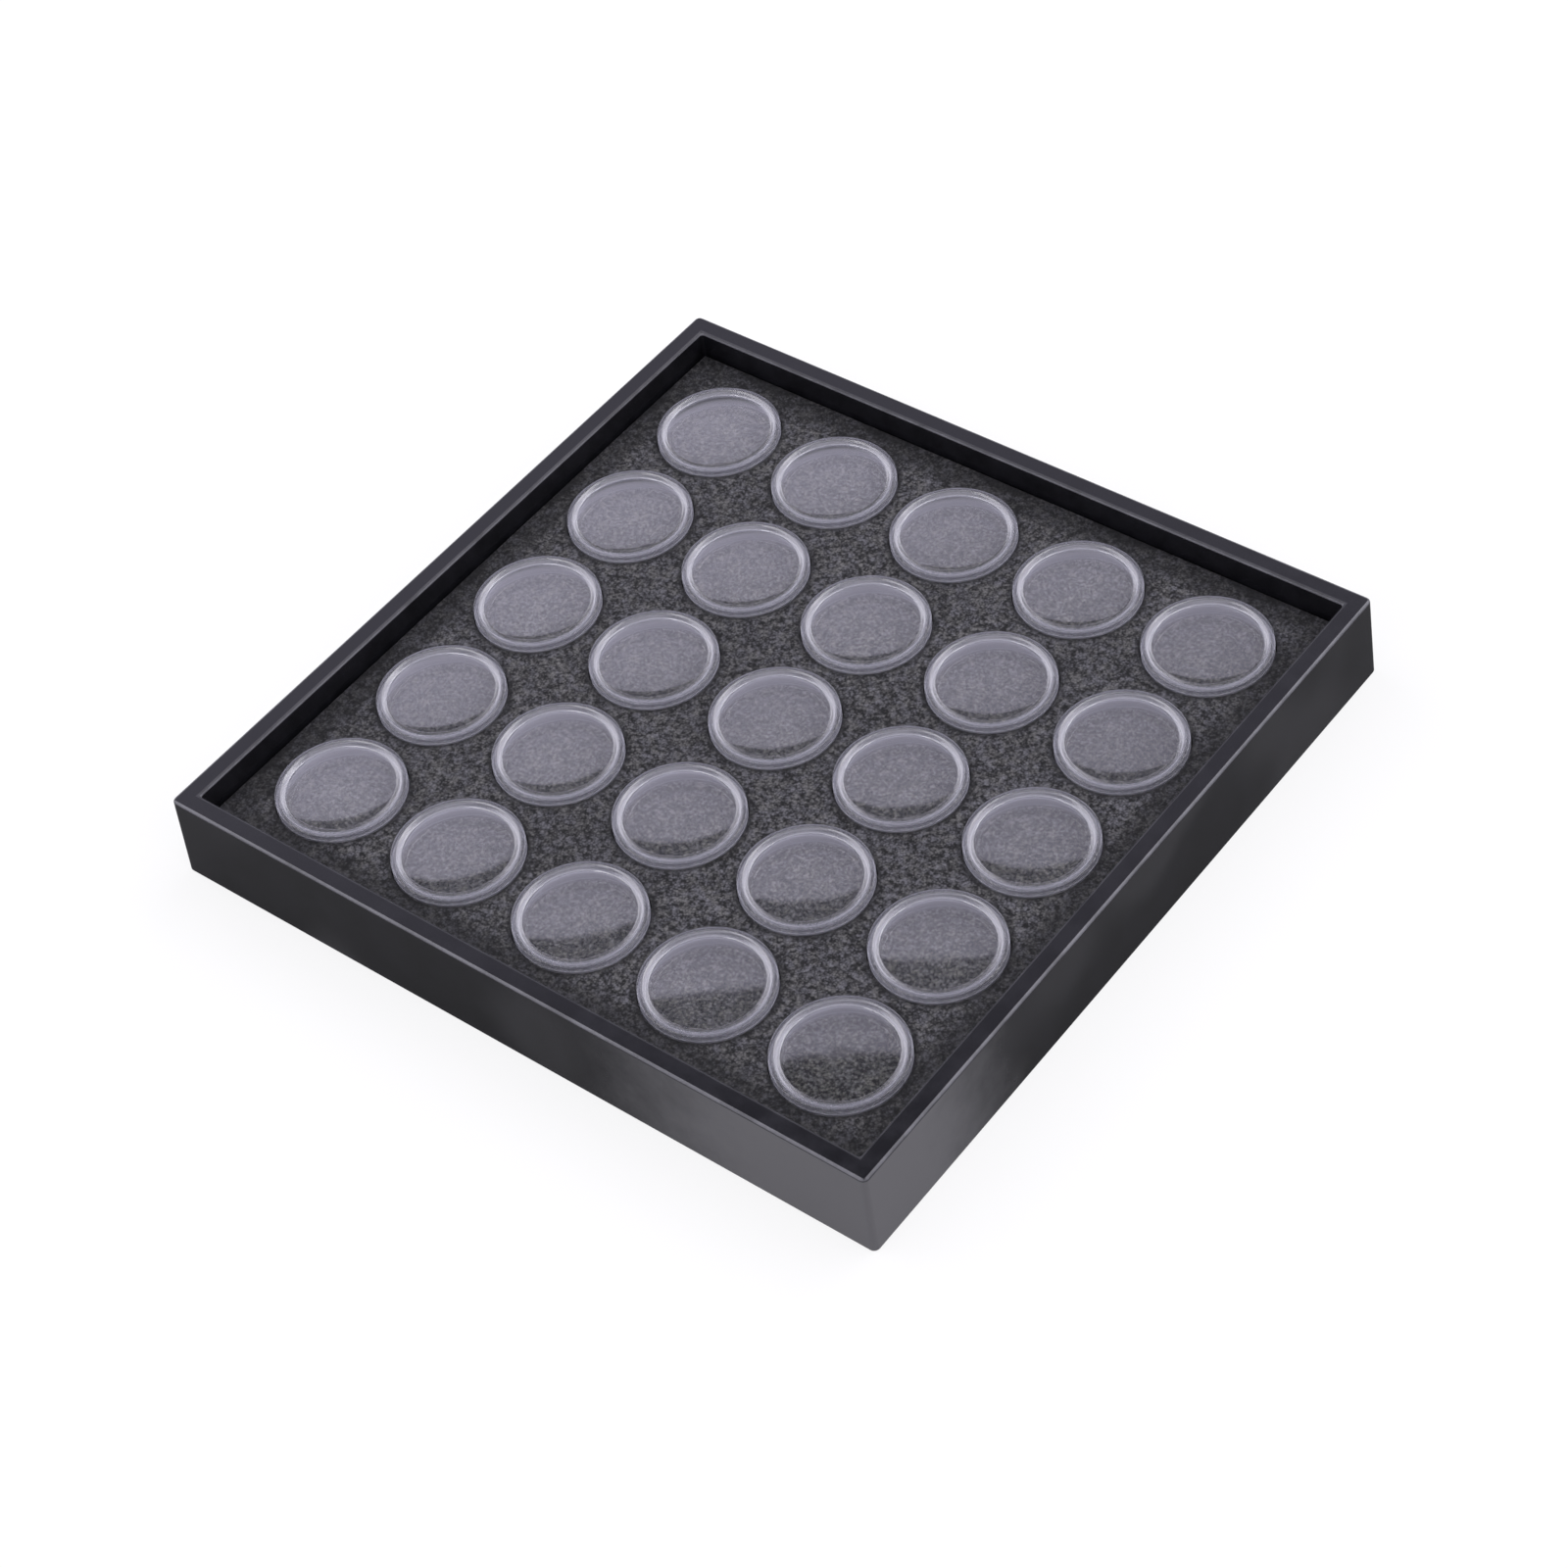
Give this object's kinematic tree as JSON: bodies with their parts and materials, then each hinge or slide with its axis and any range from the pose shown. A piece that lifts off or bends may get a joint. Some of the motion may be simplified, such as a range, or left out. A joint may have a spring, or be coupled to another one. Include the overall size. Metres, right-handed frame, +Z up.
{
  "type": "coin display tray",
  "caption": "Low black moulded tray with a flat hollow rim; a pocketed foam sheet holds a square grid of clear lidded coin capsules.",
  "frame": {"origin": "centre of the tray's footprint, on the surface it stands on", "axes": "+Z up out of the tray; +X along the tray's longer side; +Y across it"},
  "size_m": [0.2116, 0.2088, 0.0246],
  "materials": {
    "tray_plastic": "black moulded plastic, semi-gloss",
    "foam": "charcoal foam with a fine lighter speckle",
    "clear_plastic": "clear polished plastic"
  },
  "bodies": {
    "tray": {"tray_shell": "tray_plastic", "foam_base_pad": "foam", "foam_insert": "foam"},
    "capsule_11": {"capsule_base_11": "clear_plastic"},
    "lid_11": {"capsule_lid_11": "clear_plastic"},
    "capsule_12": {"capsule_base_12": "clear_plastic"},
    "lid_12": {"capsule_lid_12": "clear_plastic"},
    "capsule_13": {"capsule_base_13": "clear_plastic"},
    "lid_13": {"capsule_lid_13": "clear_plastic"},
    "capsule_14": {"capsule_base_14": "clear_plastic"},
    "lid_14": {"capsule_lid_14": "clear_plastic"},
    "capsule_15": {"capsule_base_15": "clear_plastic"},
    "lid_15": {"capsule_lid_15": "clear_plastic"},
    "capsule_21": {"capsule_base_21": "clear_plastic"},
    "lid_21": {"capsule_lid_21": "clear_plastic"},
    "capsule_22": {"capsule_base_22": "clear_plastic"},
    "lid_22": {"capsule_lid_22": "clear_plastic"},
    "capsule_23": {"capsule_base_23": "clear_plastic"},
    "lid_23": {"capsule_lid_23": "clear_plastic"},
    "capsule_24": {"capsule_base_24": "clear_plastic"},
    "lid_24": {"capsule_lid_24": "clear_plastic"},
    "capsule_25": {"capsule_base_25": "clear_plastic"},
    "lid_25": {"capsule_lid_25": "clear_plastic"},
    "capsule_31": {"capsule_base_31": "clear_plastic"},
    "lid_31": {"capsule_lid_31": "clear_plastic"},
    "capsule_32": {"capsule_base_32": "clear_plastic"},
    "lid_32": {"capsule_lid_32": "clear_plastic"},
    "capsule_33": {"capsule_base_33": "clear_plastic"},
    "lid_33": {"capsule_lid_33": "clear_plastic"},
    "capsule_34": {"capsule_base_34": "clear_plastic"},
    "lid_34": {"capsule_lid_34": "clear_plastic"},
    "capsule_35": {"capsule_base_35": "clear_plastic"},
    "lid_35": {"capsule_lid_35": "clear_plastic"},
    "capsule_41": {"capsule_base_41": "clear_plastic"},
    "lid_41": {"capsule_lid_41": "clear_plastic"},
    "capsule_42": {"capsule_base_42": "clear_plastic"},
    "lid_42": {"capsule_lid_42": "clear_plastic"},
    "capsule_43": {"capsule_base_43": "clear_plastic"},
    "lid_43": {"capsule_lid_43": "clear_plastic"},
    "capsule_44": {"capsule_base_44": "clear_plastic"},
    "lid_44": {"capsule_lid_44": "clear_plastic"},
    "capsule_45": {"capsule_base_45": "clear_plastic"},
    "lid_45": {"capsule_lid_45": "clear_plastic"},
    "capsule_51": {"capsule_base_51": "clear_plastic"},
    "lid_51": {"capsule_lid_51": "clear_plastic"},
    "capsule_52": {"capsule_base_52": "clear_plastic"},
    "lid_52": {"capsule_lid_52": "clear_plastic"},
    "capsule_53": {"capsule_base_53": "clear_plastic"},
    "lid_53": {"capsule_lid_53": "clear_plastic"},
    "capsule_54": {"capsule_base_54": "clear_plastic"},
    "lid_54": {"capsule_lid_54": "clear_plastic"},
    "capsule_55": {"capsule_base_55": "clear_plastic"},
    "lid_55": {"capsule_lid_55": "clear_plastic"}
  },
  "joints": [
    {"name": "capsule_lift_11", "type": "slide", "parent": "tray", "child": "capsule_11", "axis": [0, 0, 1], "range_m": [0, 0.03]},
    {"name": "lid_lift_11", "type": "slide", "parent": "capsule_11", "child": "lid_11", "axis": [0, 0, 1], "range_m": [0, 0.02]},
    {"name": "capsule_lift_12", "type": "slide", "parent": "tray", "child": "capsule_12", "axis": [0, 0, 1], "range_m": [0, 0.03]},
    {"name": "lid_lift_12", "type": "slide", "parent": "capsule_12", "child": "lid_12", "axis": [0, 0, 1], "range_m": [0, 0.02]},
    {"name": "capsule_lift_13", "type": "slide", "parent": "tray", "child": "capsule_13", "axis": [0, 0, 1], "range_m": [0, 0.03]},
    {"name": "lid_lift_13", "type": "slide", "parent": "capsule_13", "child": "lid_13", "axis": [0, 0, 1], "range_m": [0, 0.02]},
    {"name": "capsule_lift_14", "type": "slide", "parent": "tray", "child": "capsule_14", "axis": [0, 0, 1], "range_m": [0, 0.03]},
    {"name": "lid_lift_14", "type": "slide", "parent": "capsule_14", "child": "lid_14", "axis": [0, 0, 1], "range_m": [0, 0.02]},
    {"name": "capsule_lift_15", "type": "slide", "parent": "tray", "child": "capsule_15", "axis": [0, 0, 1], "range_m": [0, 0.03]},
    {"name": "lid_lift_15", "type": "slide", "parent": "capsule_15", "child": "lid_15", "axis": [0, 0, 1], "range_m": [0, 0.02]},
    {"name": "capsule_lift_21", "type": "slide", "parent": "tray", "child": "capsule_21", "axis": [0, 0, 1], "range_m": [0, 0.03]},
    {"name": "lid_lift_21", "type": "slide", "parent": "capsule_21", "child": "lid_21", "axis": [0, 0, 1], "range_m": [0, 0.02]},
    {"name": "capsule_lift_22", "type": "slide", "parent": "tray", "child": "capsule_22", "axis": [0, 0, 1], "range_m": [0, 0.03]},
    {"name": "lid_lift_22", "type": "slide", "parent": "capsule_22", "child": "lid_22", "axis": [0, 0, 1], "range_m": [0, 0.02]},
    {"name": "capsule_lift_23", "type": "slide", "parent": "tray", "child": "capsule_23", "axis": [0, 0, 1], "range_m": [0, 0.03]},
    {"name": "lid_lift_23", "type": "slide", "parent": "capsule_23", "child": "lid_23", "axis": [0, 0, 1], "range_m": [0, 0.02]},
    {"name": "capsule_lift_24", "type": "slide", "parent": "tray", "child": "capsule_24", "axis": [0, 0, 1], "range_m": [0, 0.03]},
    {"name": "lid_lift_24", "type": "slide", "parent": "capsule_24", "child": "lid_24", "axis": [0, 0, 1], "range_m": [0, 0.02]},
    {"name": "capsule_lift_25", "type": "slide", "parent": "tray", "child": "capsule_25", "axis": [0, 0, 1], "range_m": [0, 0.03]},
    {"name": "lid_lift_25", "type": "slide", "parent": "capsule_25", "child": "lid_25", "axis": [0, 0, 1], "range_m": [0, 0.02]},
    {"name": "capsule_lift_31", "type": "slide", "parent": "tray", "child": "capsule_31", "axis": [0, 0, 1], "range_m": [0, 0.03]},
    {"name": "lid_lift_31", "type": "slide", "parent": "capsule_31", "child": "lid_31", "axis": [0, 0, 1], "range_m": [0, 0.02]},
    {"name": "capsule_lift_32", "type": "slide", "parent": "tray", "child": "capsule_32", "axis": [0, 0, 1], "range_m": [0, 0.03]},
    {"name": "lid_lift_32", "type": "slide", "parent": "capsule_32", "child": "lid_32", "axis": [0, 0, 1], "range_m": [0, 0.02]},
    {"name": "capsule_lift_33", "type": "slide", "parent": "tray", "child": "capsule_33", "axis": [0, 0, 1], "range_m": [0, 0.03]},
    {"name": "lid_lift_33", "type": "slide", "parent": "capsule_33", "child": "lid_33", "axis": [0, 0, 1], "range_m": [0, 0.02]},
    {"name": "capsule_lift_34", "type": "slide", "parent": "tray", "child": "capsule_34", "axis": [0, 0, 1], "range_m": [0, 0.03]},
    {"name": "lid_lift_34", "type": "slide", "parent": "capsule_34", "child": "lid_34", "axis": [0, 0, 1], "range_m": [0, 0.02]},
    {"name": "capsule_lift_35", "type": "slide", "parent": "tray", "child": "capsule_35", "axis": [0, 0, 1], "range_m": [0, 0.03]},
    {"name": "lid_lift_35", "type": "slide", "parent": "capsule_35", "child": "lid_35", "axis": [0, 0, 1], "range_m": [0, 0.02]},
    {"name": "capsule_lift_41", "type": "slide", "parent": "tray", "child": "capsule_41", "axis": [0, 0, 1], "range_m": [0, 0.03]},
    {"name": "lid_lift_41", "type": "slide", "parent": "capsule_41", "child": "lid_41", "axis": [0, 0, 1], "range_m": [0, 0.02]},
    {"name": "capsule_lift_42", "type": "slide", "parent": "tray", "child": "capsule_42", "axis": [0, 0, 1], "range_m": [0, 0.03]},
    {"name": "lid_lift_42", "type": "slide", "parent": "capsule_42", "child": "lid_42", "axis": [0, 0, 1], "range_m": [0, 0.02]},
    {"name": "capsule_lift_43", "type": "slide", "parent": "tray", "child": "capsule_43", "axis": [0, 0, 1], "range_m": [0, 0.03]},
    {"name": "lid_lift_43", "type": "slide", "parent": "capsule_43", "child": "lid_43", "axis": [0, 0, 1], "range_m": [0, 0.02]},
    {"name": "capsule_lift_44", "type": "slide", "parent": "tray", "child": "capsule_44", "axis": [0, 0, 1], "range_m": [0, 0.03]},
    {"name": "lid_lift_44", "type": "slide", "parent": "capsule_44", "child": "lid_44", "axis": [0, 0, 1], "range_m": [0, 0.02]},
    {"name": "capsule_lift_45", "type": "slide", "parent": "tray", "child": "capsule_45", "axis": [0, 0, 1], "range_m": [0, 0.03]},
    {"name": "lid_lift_45", "type": "slide", "parent": "capsule_45", "child": "lid_45", "axis": [0, 0, 1], "range_m": [0, 0.02]},
    {"name": "capsule_lift_51", "type": "slide", "parent": "tray", "child": "capsule_51", "axis": [0, 0, 1], "range_m": [0, 0.03]},
    {"name": "lid_lift_51", "type": "slide", "parent": "capsule_51", "child": "lid_51", "axis": [0, 0, 1], "range_m": [0, 0.02]},
    {"name": "capsule_lift_52", "type": "slide", "parent": "tray", "child": "capsule_52", "axis": [0, 0, 1], "range_m": [0, 0.03]},
    {"name": "lid_lift_52", "type": "slide", "parent": "capsule_52", "child": "lid_52", "axis": [0, 0, 1], "range_m": [0, 0.02]},
    {"name": "capsule_lift_53", "type": "slide", "parent": "tray", "child": "capsule_53", "axis": [0, 0, 1], "range_m": [0, 0.03]},
    {"name": "lid_lift_53", "type": "slide", "parent": "capsule_53", "child": "lid_53", "axis": [0, 0, 1], "range_m": [0, 0.02]},
    {"name": "capsule_lift_54", "type": "slide", "parent": "tray", "child": "capsule_54", "axis": [0, 0, 1], "range_m": [0, 0.03]},
    {"name": "lid_lift_54", "type": "slide", "parent": "capsule_54", "child": "lid_54", "axis": [0, 0, 1], "range_m": [0, 0.02]},
    {"name": "capsule_lift_55", "type": "slide", "parent": "tray", "child": "capsule_55", "axis": [0, 0, 1], "range_m": [0, 0.03]},
    {"name": "lid_lift_55", "type": "slide", "parent": "capsule_55", "child": "lid_55", "axis": [0, 0, 1], "range_m": [0, 0.02]}
  ]
}
